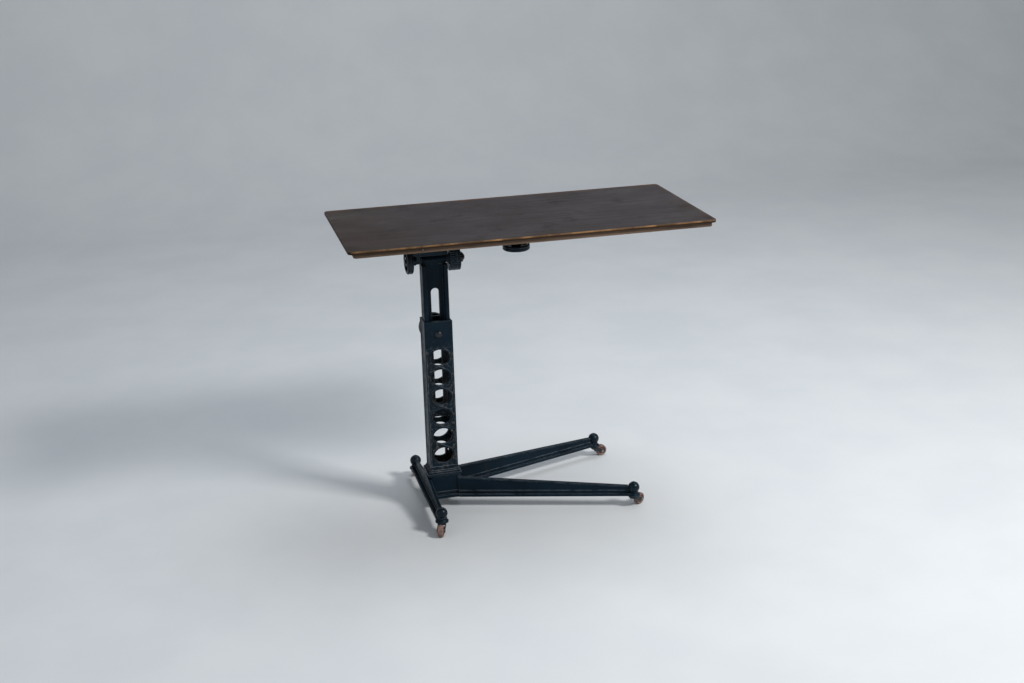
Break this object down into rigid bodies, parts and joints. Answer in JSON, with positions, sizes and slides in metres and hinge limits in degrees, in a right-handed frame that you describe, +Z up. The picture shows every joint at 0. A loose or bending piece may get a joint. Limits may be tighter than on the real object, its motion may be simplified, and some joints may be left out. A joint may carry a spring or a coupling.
{
  "type": "drafting table",
  "caption": "Tilting and swivelling wooden board carried at one end by a height-adjusting cast-iron pedestal with an open T-shaped base on casters.",
  "frame": {"origin": "on the floor, straight below the middle of the board, which is also the board's swivel axis", "axes": "+X along the board from the pedestal end to the free end, +Y across the board to the back, +Z up"},
  "size_m": [0.914, 0.436, 0.765],
  "materials": {
    "black_iron": "glossy black baked enamel over a coarse casting, worn bright on the edges, dusty in the recesses",
    "black_fittings": "black enamel, semi-gloss, rubbed thin where hands turn it",
    "dark_steel": "turned steel, darkened and oiled",
    "caster_iron": "dull dark iron with a little rust",
    "steel_pin": "dull turned steel",
    "caster_rubber": "aged red-brown hard rubber, dusty",
    "board_wood": "dark varnished wood with straight grain, pale worn edges",
    "frame_wood": "aged orange-brown wood, scuffed edges",
    "friction_leather": "compressed oiled leather"
  },
  "bodies": {
    "base": {"base_casting": "black_iron", "outer_column": "black_iron", "column_studs": "dark_steel", "finial_front_left": "black_fittings", "finial_rear_left": "black_fittings", "finial_front_right": "black_fittings", "finial_rear_right": "black_fittings", "clamp_bolt": "dark_steel", "clamp_washer": "dark_steel"},
    "height_wheel": {"height_handwheel": "black_fittings"},
    "post": {"inner_column": "black_iron", "fixed_toothed_disc": "black_fittings"},
    "head": {"tilt_arm": "black_fittings", "tilt_spindle": "dark_steel", "tilt_cap_nut": "dark_steel", "friction_washer": "friction_leather", "swivel_washer": "dark_steel"},
    "tilt_wheel": {"tilt_handwheel": "black_fittings"},
    "board": {"board_spider": "black_fittings", "swivel_spindle": "dark_steel", "top_board": "board_wood", "under_board": "frame_wood", "spider_screws": "steel_pin", "edge_pin": "steel_pin"},
    "swivel_wheel": {"swivel_handwheel": "black_fittings"},
    "caster_front_left": {"caster_fork_front_left": "caster_iron", "caster_axle_front_left": "steel_pin"},
    "wheel_front_left": {"caster_wheel_front_left": "caster_rubber"},
    "caster_rear_left": {"caster_fork_rear_left": "caster_iron", "caster_axle_rear_left": "steel_pin"},
    "wheel_rear_left": {"caster_wheel_rear_left": "caster_rubber"},
    "caster_front_right": {"caster_fork_front_right": "caster_iron", "caster_axle_front_right": "steel_pin"},
    "wheel_front_right": {"caster_wheel_front_right": "caster_rubber"},
    "caster_rear_right": {"caster_fork_rear_right": "caster_iron", "caster_axle_rear_right": "steel_pin"},
    "wheel_rear_right": {"caster_wheel_rear_right": "caster_rubber"}
  },
  "joints": [
    {"name": "height_clamp_turn", "type": "hinge", "parent": "base", "child": "height_wheel", "pos_m": [-0.216, 0.0309, 0.4795], "axis": [0, 1, 0], "range_deg": [0, 540]},
    {"name": "height_slide", "type": "slide", "parent": "base", "child": "post", "axis": [0, 0, 1], "range_m": [-0.105, 0.19]},
    {"name": "tilt", "type": "hinge", "parent": "post", "child": "head", "pos_m": [-0.216, 0, 0.6704], "axis": [1, 0, 0], "range_deg": [-65, 65]},
    {"name": "tilt_clamp_turn", "type": "hinge", "parent": "head", "child": "tilt_wheel", "pos_m": [-0.2604, 0, 0.6704], "axis": [-1, 0, 0], "range_deg": [0, 540]},
    {"name": "board_swivel", "type": "hinge", "parent": "head", "child": "board", "pos_m": [0, 0, 0.7334], "axis": [0, 0, 1], "continuous": true},
    {"name": "swivel_clamp_turn", "type": "hinge", "parent": "board", "child": "swivel_wheel", "pos_m": [0, 0, 0.6981], "axis": [0, 0, -1], "range_deg": [0, 540]},
    {"name": "caster_swivel_front_left", "type": "hinge", "parent": "base", "child": "caster_front_left", "pos_m": [-0.257, -0.175, 0.031], "axis": [0, 0, 1], "continuous": true},
    {"name": "wheel_spin_front_left", "type": "hinge", "parent": "caster_front_left", "child": "wheel_front_left", "pos_m": [-0.26487, -0.19661, 0.015], "axis": [-0.9397, 0.342, 0], "continuous": true},
    {"name": "caster_swivel_rear_left", "type": "hinge", "parent": "base", "child": "caster_rear_left", "pos_m": [-0.257, 0.175, 0.031], "axis": [0, 0, 1], "continuous": true},
    {"name": "wheel_spin_rear_left", "type": "hinge", "parent": "caster_rear_left", "child": "wheel_rear_left", "pos_m": [-0.255, 0.19791, 0.015], "axis": [0.9962, -0.0872, 0], "continuous": true},
    {"name": "caster_swivel_front_right", "type": "hinge", "parent": "base", "child": "caster_front_right", "pos_m": [0.2565, -0.1735, 0.031], "axis": [0, 0, 1], "continuous": true},
    {"name": "wheel_spin_front_right", "type": "hinge", "parent": "caster_front_right", "child": "wheel_front_right", "pos_m": [0.27534, -0.16031, 0.015], "axis": [0.5736, -0.8192, 0], "continuous": true},
    {"name": "caster_swivel_rear_right", "type": "hinge", "parent": "base", "child": "caster_rear_right", "pos_m": [0.2565, 0.1735, 0.031], "axis": [0, 0, 1], "continuous": true},
    {"name": "wheel_spin_rear_right", "type": "hinge", "parent": "caster_rear_right", "child": "wheel_rear_right", "pos_m": [0.27922, 0.1771, 0.015], "axis": [0.1564, -0.9877, 0], "continuous": true}
  ]
}
